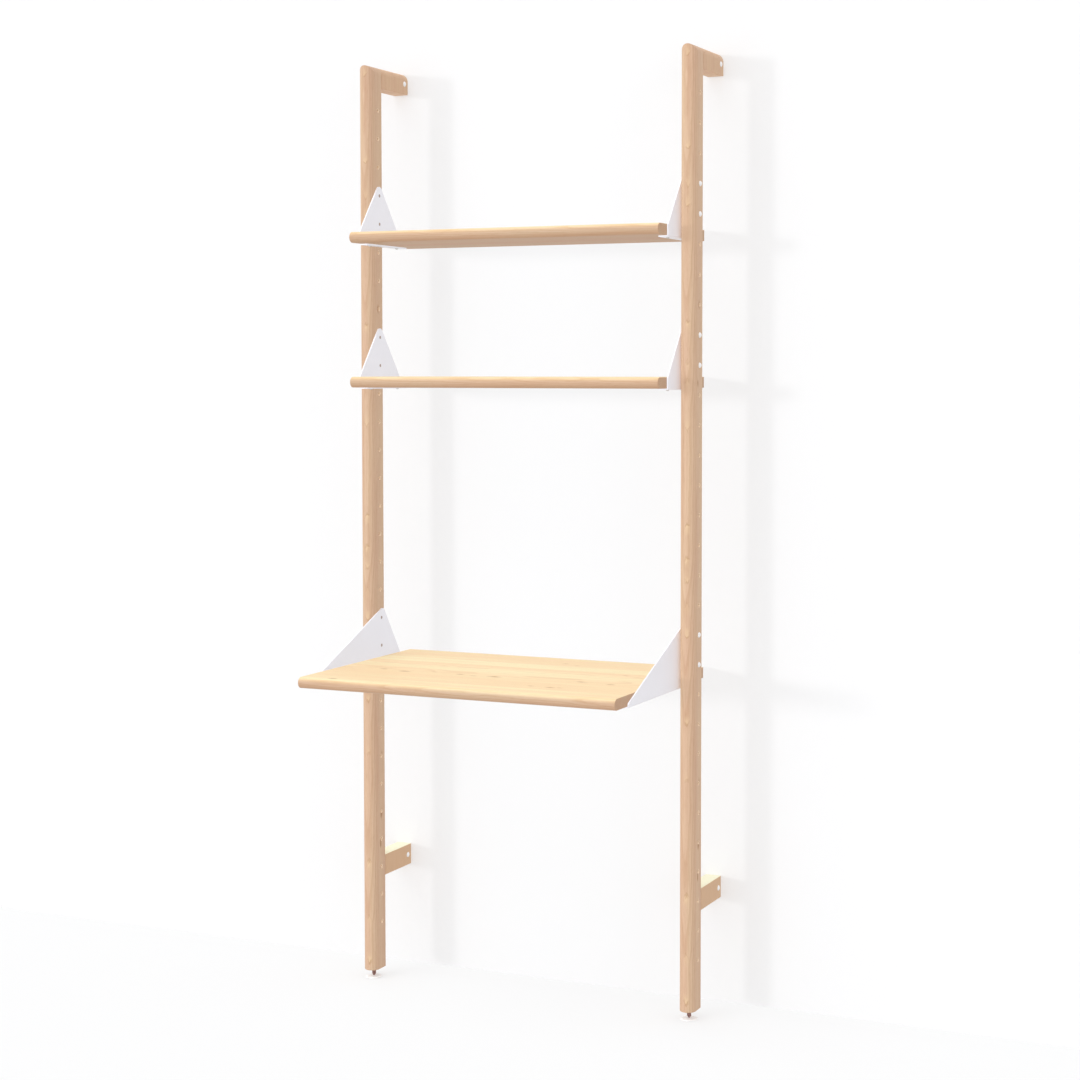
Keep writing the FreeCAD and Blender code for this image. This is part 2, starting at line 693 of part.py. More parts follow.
def fasteners():
    """Build the grouped fasteners: bracket bolts, lock bolts, sleeve nuts, dowels and board screws."""
    steps = [DESK_STEP, MIDDLE_SHELF_STEP, TOP_SHELF_STEP]

    bolt = domed_pin(
        "bracket_bolt_form", "sizes.bolt_diameter",
        "sizes.upright_width + sizes.plate_thickness - sizes.bolt_end_recess",
        "sizes.bolt_head_diameter", "sizes.bolt_head_height",
    )
    bolt_places = [
        (f"{side} * {OUTER_FACE_X}", HOLE_LINE_Y, f"{FIRST_HOLE_Z} + ({step} + {rise}) * sizes.hole_pitch",
         sideways(side))
        for side in (LEFT, RIGHT)
        for step in steps
        for rise in (0, 1)
    ]

    lock_length = f"{LOCK_OVERLAP_SHARE} * sizes.upright_width"
    lock = domed_pin(
        "lock_bolt_form", "sizes.lock_bolt_diameter", lock_length,
        "sizes.lock_head_diameter", "sizes.lock_head_height",
    )
    nut = sleeve_nut("lock_nut_form", lock_length)
    arm_middles = [f"{bottom} + sizes.arm_height / 2" for bottom in (LOWER_ARM_BOTTOM, UPPER_ARM_BOTTOM)]

    def lock_places(facing):
        """Return the places of the lock bolts, on the face of each arm that looks one way along X."""
        return [
            (f"{side} * sizes.upright_spacing / 2 + {facing} * sizes.upright_width / 2",
             f"{WALL_Y} - sizes.lock_bolt_inset", f"sizes.floor_gap + {middle}", sideways(facing))
            for side in (LEFT, RIGHT)
            for middle in arm_middles
        ]

    dowel = new_body("dowel_form")
    dowel_section = new_sketch(dowel, "section", "XZ_Plane")
    add_circle(dowel_section, "0", "0", "sizes.dowel_diameter")
    pad(dowel, "rod", dowel_section, "2 * sizes.dowel_depth", both=True)
    dowel_places = [
        (f"{side} * sizes.upright_spacing / 2", UPRIGHT_BACK_Y, f"sizes.floor_gap + {level}", None)
        for side in (LEFT, RIGHT)
        for level in dowel_levels(LOWER_ARM_BOTTOM) + dowel_levels(UPPER_ARM_BOTTOM)
    ]

    screw = domed_pin(
        "board_screw_form", "sizes.screw_diameter", "sizes.screw_length",
        "sizes.screw_head_diameter", "sizes.screw_head_height",
    )
    head_down = FreeCAD.Rotation(X_DIRECTION, 180)
    screw_spots = [
        (f"{side} * ({INNER_FACE_X} - {FLANGE_MIDDLE})", f"{HOLE_LINE_Y} + {along}",
         f"{FIRST_HOLE_Z} + {step} * sizes.hole_pitch + {BRACKET_BOTTOM}", head_down)
        for step in steps
        for side in (LEFT, RIGHT)
        for along in screw_places(step == DESK_STEP)
    ]
    return [
        group("bracket_bolts", bolt, bolt_places),
        group("arm_lock_bolts", lock, lock_places(RIGHT)),
        group("arm_lock_nuts", nut, lock_places(LEFT)),
        group("arm_dowels", dowel, dowel_places),
        group("board_screws", screw, screw_spots),
    ]


def turned_piece(label, side, base_z, points):
    """Build a piece of a foot by turning an outline of (radius, height) about the foot's axis."""
    body = new_body(label)
    profile = new_sketch(body, "profile", "XZ_Plane")
    add_outline(profile, points)
    revolve(body, "turned", profile, "Z_Axis")
    place(body, f"{side} * sizes.upright_spacing / 2", f"{UPRIGHT_BACK_Y} + {FOOT_CENTRE_Y}", base_z)
    return body


def foot(name, side):
    """Build a levelling foot.

    An insert sits in the upright, a stud screws into it, and a pad swivels on the pin below the stud's neck.
    """
    bore = "sizes.stud_diameter / 2 + sizes.fit_clearance"
    insert = turned_piece(f"{name}_foot_insert", side, "sizes.floor_gap", [
        (bore, "0"),
        ("sizes.insert_diameter / 2", "0"),
        ("sizes.insert_diameter / 2", "sizes.insert_length"),
        (bore, "sizes.insert_length"),
    ])
    shoulder = "(sizes.pad_height + sizes.joint_gap)"
    stud = turned_piece(f"{name}_foot_stud", side, "0", [
        ("0", f"{shoulder} - sizes.pin_length"),
        ("sizes.pin_diameter / 2", f"{shoulder} - sizes.pin_length"),
        ("sizes.pin_diameter / 2", shoulder),
        ("sizes.stud_diameter / 2", f"{shoulder} + sizes.stud_neck_height"),
        ("sizes.stud_diameter / 2", "sizes.floor_gap + sizes.stud_engagement"),
        ("0", "sizes.floor_gap + sizes.stud_engagement"),
    ])
    socket = "sizes.pin_diameter / 2 + sizes.fit_clearance"
    socket_floor = "sizes.pad_height - sizes.pin_length"
    rim_start = "sizes.pad_rim_height - sizes.pad_rim_radius"
    rim_centre = "sizes.pad_diameter / 2 - sizes.pad_rim_radius"
    sole = turned_piece(f"{name}_foot_pad", side, "0", [
        ("0", "0"),
        ("sizes.pad_diameter / 2", "0"),
        ("sizes.pad_diameter / 2", rim_start, rim_centre, rim_start),
        (rim_centre, "sizes.pad_rim_height"),
        ("sizes.pad_neck_diameter / 2", "sizes.pad_height"),
        (socket, "sizes.pad_height"),
        (socket, socket_floor),
        ("0", socket_floor),
    ])
    return [insert, stud, sole]


def build():
    """Build every node of the desk."""
    nodes = []
    for name, side in (("left", LEFT), ("right", RIGHT)):
        nodes.append(upright(f"{name}_upright", side))
        nodes.append(arm(f"{name}_lower_arm", side, LOWER_ARM_BOTTOM, rounded=False))
        nodes.append(arm(f"{name}_upper_arm", side, UPPER_ARM_BOTTOM, rounded=True))
        nodes.append(wall_bracket(f"{name}_lower_wall_bracket", side, LOWER_ARM_BOTTOM))
        nodes.append(wall_bracket(f"{name}_upper_wall_bracket", side, UPPER_ARM_BOTTOM))
        nodes += foot(name, side)
    for name, depth, step in (
        ("desk", "sizes.desk_depth", DESK_STEP),
        ("middle_shelf", "sizes.shelf_depth", MIDDLE_SHELF_STEP),
        ("top_shelf", "sizes.shelf_depth", TOP_SHELF_STEP),
    ):
        desk = name == "desk"
        nodes.append(board("desk_top" if desk else name, depth, step, desk))
        nodes.append(bracket(f"{name}_left_bracket", LEFT, step, desk))
        nodes.append(bracket(f"{name}_right_bracket", RIGHT, step, desk))
    nodes += fasteners()
    return nodes


def check(nodes):
    """Stop if an object failed to build or a node's shape is missing or not valid."""
    for item in doc.Objects:
        if "Invalid" in item.State or "Error" in item.State:
            raise RuntimeError(f"{item.Label} failed: {item.State}")
    for node in nodes:
        if node.Shape.isNull() or not node.Shape.isValid() or not node.Shape.Solids:
            raise RuntimeError(f"{node.Label} has no valid solid")


def export(nodes):
    """Write each node to its own file."""
    os.makedirs("parts", exist_ok=True)
    for node in nodes:
        node.Shape.exportStep(f"parts/{node.Label}.step")


desk_nodes = build()
doc.recompute()
check(desk_nodes)
export(desk_nodes)
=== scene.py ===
"""Looks of a wall-fixed desk with shelves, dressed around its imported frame.

Lengths are metres in the frame's own axes: +X right, +Y towards the wall, +Z up, floor at zero.
"""

import json
import logging
import math
from dataclasses import dataclass, replace
from enum import Enum
from typing import Any, Optional, Sequence, Union

import bmesh
import bpy
from mathutils import Matrix, Vector

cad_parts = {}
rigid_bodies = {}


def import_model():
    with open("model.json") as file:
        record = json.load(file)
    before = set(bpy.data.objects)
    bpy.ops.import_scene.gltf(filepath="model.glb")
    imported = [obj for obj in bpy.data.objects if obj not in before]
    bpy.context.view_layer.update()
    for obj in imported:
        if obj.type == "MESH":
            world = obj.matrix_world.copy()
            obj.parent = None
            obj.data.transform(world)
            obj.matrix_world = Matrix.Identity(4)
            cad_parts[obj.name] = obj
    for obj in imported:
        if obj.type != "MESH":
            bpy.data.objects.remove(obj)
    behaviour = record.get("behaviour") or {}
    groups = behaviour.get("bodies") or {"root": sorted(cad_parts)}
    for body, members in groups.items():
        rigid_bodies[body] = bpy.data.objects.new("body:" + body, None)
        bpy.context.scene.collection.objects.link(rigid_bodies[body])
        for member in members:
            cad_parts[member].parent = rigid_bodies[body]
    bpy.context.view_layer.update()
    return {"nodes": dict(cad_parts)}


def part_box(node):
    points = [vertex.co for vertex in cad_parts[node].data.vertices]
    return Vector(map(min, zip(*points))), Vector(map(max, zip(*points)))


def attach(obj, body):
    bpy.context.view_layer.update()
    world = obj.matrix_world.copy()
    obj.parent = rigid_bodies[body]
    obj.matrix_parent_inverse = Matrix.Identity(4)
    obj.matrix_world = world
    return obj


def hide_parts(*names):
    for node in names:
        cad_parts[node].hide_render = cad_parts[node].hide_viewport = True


Socket = bpy.types.NodeSocket
Material = bpy.types.Material
World = bpy.types.World
Mesh = bmesh.types.BMesh
Nodes = dict[str, bpy.types.Object]
Colour = tuple[float, float, float]
Point = tuple[float, float, float]
Fleck = tuple[float, float, float, float]
Spot = tuple[float, float]
Span = tuple[float, float]
Feed = Union[float, Sequence[float], Socket]
Feeds = dict[Union[str, int], Feed]

LOG = logging.getLogger("desk_with_shelves")
FULL_TURN = 2.0 * math.pi
UP: Point = (0.0, 0.0, 1.0)
DOWN: Point = (0.0, 0.0, -1.0)
CENTRE: Point = (0.0, 0.0, 0.0)
WHITE: Colour = (1.0, 1.0, 1.0)
NOISE_MIDDLE: Span = (0.3, 0.7)
NOISE_UPPER: Span = (0.35, 0.75)


class Grain(Enum):
    """The axis that the fibres of a wooden piece run along, with the two axes across them."""

    LENGTHWISE = ("X", "Y", "Z")
    UPRIGHT = ("Z", "X", "Y")


class Blend(Enum):
    """How one colour is laid over another."""

    COVER = "MIX"
    DARKEN = "MULTIPLY"


class NodeGraph:
    """The node tree of a material or the world, with short ways to add nodes and join them."""

    def __init__(self, owner: Union[Material, World]) -> None:
        """Start an empty tree.

        Args:
            owner: The new material or world that the tree belongs to.
        """
        owner.use_nodes = True
        self.owner = owner
        self.tree = owner.node_tree
        self.tree.nodes.clear()

    def add(self, kind: str, settings: Optional[dict[str, Any]] = None,
            feeds: Optional[Feeds] = None) -> bpy.types.Node:
        """Add a node.

        Args:
            kind: The node's type, without its common prefix.
            settings: Properties of the node.
            feeds: What goes into its sockets, by name or place.

        Returns:
            The new node.
        """
        node = self.tree.nodes.new(f"ShaderNode{kind}")
        for key, setting in (settings or {}).items():
            setattr(node, key, setting)
        for key, feed in (feeds or {}).items():
            self.feed(node.inputs[key], feed)
        return node

    def feed(self, socket: Socket, feed: Feed) -> None:
        """Join an output to a socket, or set the socket's own value.

        Args:
            socket: The socket that takes the feed.
            feed: A number, a colour or another node's output.
        """
        if isinstance(feed, Socket):
            self.tree.links.new(feed, socket)
        elif socket.type == "RGBA":
            socket.default_value = (*feed, 1.0)
        else:
            socket.default_value = feed

    def place(self) -> Socket:
        """Return the place of a point on the piece."""
        return self.add("TexCoord").outputs["Object"]

    def facing(self, axis: str) -> Socket:
        """Return how far a face looks along an axis, from -1 to 1."""
        return self.split(self.add("NewGeometry").outputs["Normal"])[axis]

    def seen(self) -> Socket:
        """Tell the rays that show a surface from those that only carry its light.

        Returns:
            1 where the eye, a gloss or a clear piece looks, and 0 for other rays.
        """
        path = self.add("LightPath").outputs
        seen = self.sum_of("MAXIMUM", path["Is Camera Ray"], path["Is Glossy Ray"])
        return self.sum_of("MAXIMUM", seen, path["Is Transmission Ray"])

    def split(self, vector: Socket) -> dict[str, Socket]:
        """Return the X, Y and Z of a vector by name."""
        node = self.add("SeparateXYZ", feeds={0: vector})
        return {axis: node.outputs[axis] for axis in "XYZ"}

    def join(self, x: Feed, y: Feed, z: Feed) -> Socket:
        """Return a vector of three feeds."""
        return self.add("CombineXYZ", feeds={0: x, 1: y, 2: z}).outputs[0]

    def sum_of(self, operation: str, first: Feed, second: Feed = 0.0) -> Socket:
        """Work out a number from one or two others.

        Args:
            operation: The name of the sum.
            first: The first number.
            second: The second number, where the sum takes one.

        Returns:
            The result.
        """
        return self.add("Math", {"operation": operation}, {0: first, 1: second}).outputs[0]

    def plus(self, first: Feed, second: Feed) -> Socket:
        """Return two numbers added."""
        return self.sum_of("ADD", first, second)

    def minus(self, first: Feed, second: Feed) -> Socket:
        """Return the first number less the second."""
        return self.sum_of("SUBTRACT", first, second)

    def times(self, first: Feed, second: Feed) -> Socket:
        """Return two numbers multiplied."""
        return self.sum_of("MULTIPLY", first, second)

    def length(self, vector: Socket) -> Socket:
        """Return the length of a vector."""
        return self.add("VectorMath", {"operation": "LENGTH"}, {0: vector}).outputs["Value"]

    def stretch(self, vector: Socket, shares: Sequence[float]) -> Socket:
        """Return a vector with each part multiplied by its own share."""
        return self.add("VectorMath", {"operation": "MULTIPLY"}, {0: vector, 1: shares}).outputs[0]

    def shift(self, vector: Socket, offset: Feed) -> Socket:
        """Return a vector moved by an offset."""
        return self.add("VectorMath", {"operation": "ADD"}, {0: vector, 1: offset}).outputs[0]

    def noise(self, vector: Socket, scale: float, detail: float = 2.0,
              roughness: float = 0.5) -> Socket:
        """Return soft noise from 0 to 1 over a vector.

        Args:
            vector: Where the noise is read.
            scale: Waves for each unit of the vector.
            detail: How many finer layers are added.
            roughness: How strong the finer layers are.

        Returns:
            The noise.
        """
        feeds = {"Vector": vector, "Scale": scale, "Detail": detail, "Roughness": roughness}
        return self.add("TexNoise", feeds=feeds).outputs["Fac"]

    def streaks(self, vector: Socket, waves: Point, detail: float = 2.0,
                roughness: float = 0.5) -> Socket:
        """Return noise with its own number of waves for each part of a vector."""
        return self.noise(self.stretch(vector, waves), 1.0, detail, roughness)

    def remap(self, number: Feed, low: float, high: float, new_low: float = 0.0,
              new_high: float = 1.0) -> Socket:
        """Return a number carried from one range to another and held inside it."""
        feeds = {0: number, 1: low, 2: high, 3: new_low, 4: new_high}
        return self.add("MapRange", {"interpolation_type": "SMOOTHSTEP"}, feeds).outputs[0]

    def mix(self, share: Feed, first: Feed, second: Feed, blend: Blend = Blend.COVER) -> Socket:
        """Lay one colour over another.

        Args:
            share: How much of the second colour shows, from 0 to 1.
            first: The colour below.
            second: The colour above.
            blend: How the second is laid over the first.

        Returns:
            The mixed colour.
        """
        settings = {"data_type": "RGBA", "blend_type": blend.value, "clamp_factor": True}
        return self.add("Mix", settings, {0: share, 6: first, 7: second}).outputs[2]

    def steps(self, number: Socket, stops: Sequence[tuple[float, Colour]]) -> Socket:
        """Return a colour that changes at given numbers and is even between them.

        Args:
            number: The number, from 0 to 1.
            stops: The number at which each colour starts.

        Returns:
            The colour.
        """
        node = self.add("ValToRGB", feeds={0: number})
        node.color_ramp.interpolation = "CONSTANT"
        marks = node.color_ramp.elements
        while len(marks) > 1:
            marks.remove(marks[-1])
        marks[0].position, marks[0].color = stops[0][0], (*stops[0][1], 1.0)
        for position, colour in stops[1:]:
            marks.new(position).color = (*colour, 1.0)
        return node.outputs["Color"]

    def bump(self, height: Socket, depth: float, strength: float) -> Socket:
        """Return a normal that follows a height.

        Args:
            height: The height, from 0 to 1.
            depth: The length that a height of 1 stands for.
            strength: How much of it shows.

        Returns:
            The bent normal.
        """
        feeds = {"Strength": strength, "Distance": depth, "Height": height}
        return self.add("Bump", feeds=feeds).outputs[0]

    def close(self, kind: str, surface: Socket) -> Union[Material, World]:
        """Join a surface to the output of the tree.

        Args:
            kind: The output's type, without its common prefix.
            surface: The shader that it shows.

        Returns:
            The material or world.
        """
        self.add(kind, feeds={"Surface": surface})
        return self.owner

    def finish(self, feeds: Feeds) -> Material:
        """Close the tree with a surface shader.

        Args:
            feeds: What goes into the shader's sockets.

        Returns:
            The finished material.
        """
        return self.close("OutputMaterial", self.add("BsdfPrincipled", feeds=feeds).outputs[0])


@dataclass(frozen=True)
class WoodTone:
    """The colours of one sort of wood, with tints for ends, and painted shade for faces that don't
    look up (under) and for faces that look down (below).
    """

    light: Colour
    warm: Colour
    line: Colour
    fleck: Colour
    heart: Colour
    end: Colour
    # under and below are painted shade, multiplied in on faces that don't look up and on faces that
    # look down.
    under: Colour = WHITE
    below: Colour = WHITE


@dataclass(frozen=True)
class Bores:
    """A row of holes along X, one over the other, with walls and rims painted in one colour, which
    on the uprights is painted light.
    """

    line: float
    rim_radius: float
    colour: Colour
    first: float = 0.130
    pitch: float = 0.064
    count: int = 30

    def paint(self, graph: NodeGraph, colour: Feed, parts: dict[str, Socket]) -> Feed:
        """Lay the colour of the holes over another.

        Args:
            graph: The material's tree.
            colour: The colour so far.
            parts: The place of the point by axis.

        Returns:
            The colour with the holes.
        """
        step = graph.sum_of("DIVIDE", graph.minus(parts["Z"], self.first), self.pitch)
        off_step = graph.minus(step, graph.sum_of("ROUND", step))
        off_line = graph.minus(parts["Y"], self.line)
        reach = graph.length(graph.join(off_line, graph.times(off_step, self.pitch), 0.0))
        inside = graph.sum_of("LESS_THAN", reach, self.rim_radius)
        inside = graph.times(inside, graph.sum_of("GREATER_THAN", step, -0.5))
        inside = graph.times(inside, graph.sum_of("LESS_THAN", step, self.count - 0.5))
        return graph.mix(inside, colour, self.colour)


@dataclass(frozen=True)
class Rings:
    """Growth rings round the heart of the log, which lies across and deep from the origin."""

    heart: Spot
    spacing: float = 0.0034
    tilt: float = 0.03
    share: float = 0.5
    wander: float = 0.006
    wander_waves: Point = (2.6, 16.0, 16.0)
    sway: float = 0.014
    sway_waves: Point = (5.0, 0.4, 0.4)
    dark_from: float = 0.3
    dark_to: float = 0.9

    def draw(self, graph: NodeGraph, fibre_place: Socket, along: Socket, across: Socket,
             deep: Socket) -> Socket:
        """Return the rings, from 0 to 1, dark where a ring ends.

        Args:
            graph: The material's tree.
            fibre_place: The place of the point, moved by the seed.
            along: Its place along the fibres.
            across: Its place across them.
            deep: Its depth.

        Returns:
            The rings.
        """
        side = graph.minus(across, self.heart[0])
        depth = graph.minus(deep, self.heart[1])
        wander = graph.streaks(fibre_place, self.wander_waves)
        sway = graph.streaks(fibre_place, self.sway_waves)
        reach = graph.length(graph.join(side, depth, 0.0))
        reach = graph.plus(reach, graph.times(along, self.tilt))
        reach = graph.plus(reach, graph.times(wander, self.wander))
        reach = graph.plus(reach, graph.times(sway, self.sway))
        turn = graph.sum_of("FRACT", graph.sum_of("DIVIDE", reach, self.spacing))
        rise = graph.remap(turn, self.dark_from, self.dark_to)
        fall = graph.remap(turn, self.dark_to, 1.0, 1.0, 0.0)
        return graph.times(rise, fall)


@dataclass(frozen=True)
class Chevrons:
    """Arched tips of growth rings down the middle of a front: pale hearts in brown outlines.

    Each tip has its height, the way it points and its strength.
    """

    tips: tuple[Point, ...]
    side: float = 0.002
    slope: float = 1.2
    rag: float = 0.006
    rag_waves: Point = (70.0, 190.0, 190.0)
    rag_range: Span = (0.2, 0.8)
    length: float = 0.026
    soft_edge: float = 0.002
    outline: Span = (0.0005, 0.004)
    half_width: float = 0.0085
    depth: Span = (0.005, 0.013)
    share: float = 0.5

    def paint(self, graph: NodeGraph, colour: Feed, tone: WoodTone, along: Socket, across: Socket,
              deep: Socket) -> Feed:
        """Lay the arches over the wood.

        Args:
            graph: The material's tree.
            colour: The colour of the wood so far.
            tone: The colours of the wood.
            along: The place of the point along the fibres.
            across: Its place across them, from the middle of the front.
            deep: Its depth behind the front.

        Returns:
            The colour with the arches.
        """
        beside = graph.sum_of("ABSOLUTE", graph.minus(across, self.side))
        ragged = graph.streaks(graph.join(along, across, deep), self.rag_waves)
        ragged = graph.remap(ragged, *self.rag_range, -self.rag, self.rag)
        slant = graph.plus(graph.times(beside, self.slope), ragged)
        heart: Feed = 0.0
        outline: Feed = 0.0
        for level, turn, strength in self.tips:
            tip = graph.plus(graph.times(along, turn), slant)
            tip = graph.minus(tip, level * turn)
            inside = graph.remap(tip, -self.length, -self.soft_edge, 0.0, strength)
            ended = graph.remap(tip, -self.soft_edge, self.soft_edge, 1.0, 0.0)
            heart = graph.sum_of("MAXIMUM", heart, graph.times(inside, ended))
            edge = graph.remap(graph.sum_of("ABSOLUTE", tip), *self.outline, strength, 0.0)
            outline = graph.sum_of("MAXIMUM", outline, edge)
        near = graph.remap(beside, 0.0, self.half_width, 1.0, 0.0)
        near = graph.times(near, graph.remap(deep, *self.depth, 1.0, 0.0))
        near = graph.times(near, self.share)
        colour = graph.mix(graph.times(heart, near), colour, tone.heart)
        return graph.mix(graph.times(outline, near), colour, tone.fleck, Blend.DARKEN)


@dataclass(frozen=True)
class Flecks:
    """Small darker flecks and pin knots, longer along the fibres.

    Each spot has its place and a weight, which sets its size and how dark it is.
    """

    spots: tuple[Fleck, ...]
    length: float = 0.018
    width: float = 0.0065
    rag: float = 1.1
    rag_waves: float = 1.3
    edge: Span = (0.55, 1.5)
    share: float = 0.95

    def paint(self, graph: NodeGraph, colour: Feed, tone: WoodTone, grain: Grain,
              spot: Socket) -> Feed:
        """Lay the flecks over the wood.

        Args:
            graph: The material's tree.
            colour: The colour of the wood so far.
            tone: The colours of the wood.
            grain: The way that the fibres run.
            spot: The place of the point.

        Returns:
            The colour with the flecks.
        """
        sizes = [self.length if axis == grain.value[0] else self.width for axis in "XYZ"]
        shares = tuple(1.0 / size for size in sizes)
        ragged = graph.noise(graph.stretch(spot, shares), self.rag_waves, detail=3.0, roughness=0.6)
        ragged = graph.times(ragged, self.rag)
        mask: Feed = 0.0
        for *centre, weight in self.spots:
            near = graph.shift(spot, tuple(-part for part in centre))
            near = graph.stretch(near, tuple(share / weight for share in shares))
            reach = graph.plus(graph.length(near), ragged)
            dark = graph.remap(reach, *self.edge, min(weight, 1.0), 0.0)
            mask = graph.sum_of("MAXIMUM", mask, dark)
        return graph.mix(graph.times(mask, self.share), colour, tone.fleck, Blend.DARKEN)


@dataclass(frozen=True)
class WoodFinish:
    """Oiled light wood cut from the solid: rings, fibres, pores, staves, figure and end grain, with
    painted shade on faces that don't look up.
    """

    tone: WoodTone
    grain: Grain
    rings: Rings
    seed: float
    origin: Point = CENTRE
    staves: tuple[Spot, ...] = ()
    stave_range: Span = (-0.3, 0.3)
    stave_shift: float = 0.06
    plain_tone: float = 0.35
    chevrons: Optional[Chevrons] = None
    flecks: Optional[Flecks] = None
    bores: Optional[Bores] = None
    fibre_waves: Point = (9.0, 420.0, 420.0)
    streak_waves: Point = (1.4, 62.0, 62.0)
    cloud_waves: Point = (3.2, 26.0, 26.0)
    pore_waves: Point = (42.0, 900.0, 900.0)
    pore_edge: Span = (0.12, 0.3)
    cloud_warmth: float = 0.7
    stave_warmth: float = 0.5
    streak_warmth: float = 0.7
    warm_range: Span = (0.55, 1.2)
    # How far a face looks up, over which the painted shade comes in on sides and undersides.
    painted_shade_range: Span = (0.15, 1.0)
    painted_underside_shade_range: Span = (-1.0, -0.1)
    end_range: Span = (0.7, 0.95)
    end_share: float = 0.75
    fibre_range: Span = (0.4, 0.75)
    fibre_share: float = 0.4
    pore_share: float = 0.5
    ring_sheen: float = 0.3
    rough_range: Span = (0.2, 1.1)
    roughness: Span = (0.62, 0.46)
    fibre_relief: float = 0.5
    pore_relief: float = 0.6
    ring_relief: float = 0.22
    relief_depth: float = 0.00025
    relief_strength: float = 0.4
    gloss: float = 0.3

    def build(self, name: str) -> Material:
        """Make the material.

        Args:
            name: The name of the material.

        Returns:
            The finished material.
        """
        graph = NodeGraph(bpy.data.materials.new(name))
        spot = graph.shift(graph.place(), tuple(-part for part in self.origin))
        parts = graph.split(spot)
        along, across, deep = (parts[axis] for axis in self.grain.value)
        stave_tone, stave_seed = self.stave(graph, across)
        moved = graph.plus(across, stave_seed)
        fibre_place = graph.shift(graph.join(along, moved, deep), (self.seed,) * 3)
        rings = self.rings.draw(graph, fibre_place, along, moved, deep)
        fibres = graph.streaks(fibre_place, self.fibre_waves, detail=3.0, roughness=0.6)
        pores = self.pores(graph, fibre_place)

        colour = self.ground(graph, fibre_place, stave_tone)
        lines = (
            graph.times(rings, self.rings.share),
            graph.remap(fibres, *self.fibre_range, 0.0, self.fibre_share),
            graph.times(pores, self.pore_share),
        )
        for line in lines:
            colour = graph.mix(line, colour, self.tone.line, Blend.DARKEN)
        if self.chevrons is not None:
            colour = self.chevrons.paint(graph, colour, self.tone, along, across, deep)
        if self.flecks is not None:
            colour = self.flecks.paint(graph, colour, self.tone, self.grain, spot)
        colour = graph.mix(self.ends(graph), colour, self.tone.end, Blend.DARKEN)
        if self.bores is not None:
            colour = self.bores.paint(graph, colour, parts)

        roughness = graph.plus(fibres, graph.times(rings, self.ring_sheen))
        relief = graph.times(fibres, self.fibre_relief)
        relief = graph.minus(relief, graph.times(pores, self.pore_relief))
        relief = graph.minus(relief, graph.times(rings, self.ring_relief))
        return graph.finish({
            "Base Color": colour,
            "Roughness": graph.remap(roughness, *self.rough_range, *self.roughness),
            "Normal": graph.bump(relief, self.relief_depth, self.relief_strength),
            "Specular IOR Level": self.gloss,
        })

    def ground(self, graph: NodeGraph, fibre_place: Socket, stave_tone: Feed) -> Feed:
        """Return the soft colour under the figure, darker where a face doesn't look up: painted
        shade, deepened where it looks down.

        Args:
            graph: The material's tree.
            fibre_place: The place of the point, moved by the seed.
            stave_tone: The tone of its stave.

        Returns:
            The colour.
        """
        streaks = graph.streaks(fibre_place, self.streak_waves, detail=3.0, roughness=0.55)
        clouds = graph.streaks(fibre_place, self.cloud_waves)
        clouds = graph.times(clouds, self.cloud_warmth)
        warmth = graph.plus(clouds, graph.times(stave_tone, self.stave_warmth))
        warmth = graph.plus(warmth, graph.times(streaks, self.streak_warmth))
        colour = graph.mix(graph.remap(warmth, *self.warm_range), self.tone.light, self.tone.warm)
        # Painted shade: faces that don't look up take the tone's under tint, and faces that look
        # down take its below tint as well.
        upward = graph.facing("Z")
        under = graph.remap(upward, *self.painted_shade_range, 1.0, 0.0)
        colour = graph.mix(under, colour, self.tone.under, Blend.DARKEN)
        below = graph.remap(upward, *self.painted_underside_shade_range, 1.0, 0.0)
        return graph.mix(below, colour, self.tone.below, Blend.DARKEN)

    def stave(self, graph: NodeGraph, across: Socket) -> tuple[Feed, Feed]:
        """Return the tone of the stave that a point lies in, and how far its figure is moved.

        Args:
            graph: The material's tree.
            across: The place of the point across the staves.

        Returns:
            The tone and the move.
        """
        if not self.staves:
            return self.plain_tone, 0.0
        low, high = self.stave_range
        stops = [((edge - low) / (high - low), (tone,) * 3) for edge, tone in self.staves]
        share = graph.add("MapRange", feeds={0: across, 1: low, 2: high}).outputs[0]
        tone = graph.add("SeparateColor", feeds={0: graph.steps(share, stops)}).outputs[0]
        noise = graph.add("TexWhiteNoise", {"noise_dimensions": "1D"}, {"W": tone}).outputs["Value"]
        return tone, graph.remap(noise, 0.0, 1.0, -self.stave_shift, self.stave_shift)

    def pores(self, graph: NodeGraph, fibre_place: Socket) -> Socket:
        """Draw short fine pores along the fibres.

        Args:
            graph: The material's tree.
            fibre_place: The place of the point, moved by the seed.

        Returns:
            The pores, from 0 to 1.
        """
        feeds = {"Vector": graph.stretch(fibre_place, self.pore_waves), "Scale": 1.0}
        cells = graph.add("TexVoronoi", feeds=feeds)
        return graph.remap(cells.outputs["Distance"], *self.pore_edge, 1.0, 0.0)

    def ends(self, graph: NodeGraph) -> Socket:
        """Return where a face cuts across the fibres, from 0 to 1."""
        facing = graph.sum_of("ABSOLUTE", graph.facing(self.grain.value[0]))
        return graph.remap(facing, *self.end_range, 0.0, self.end_share)


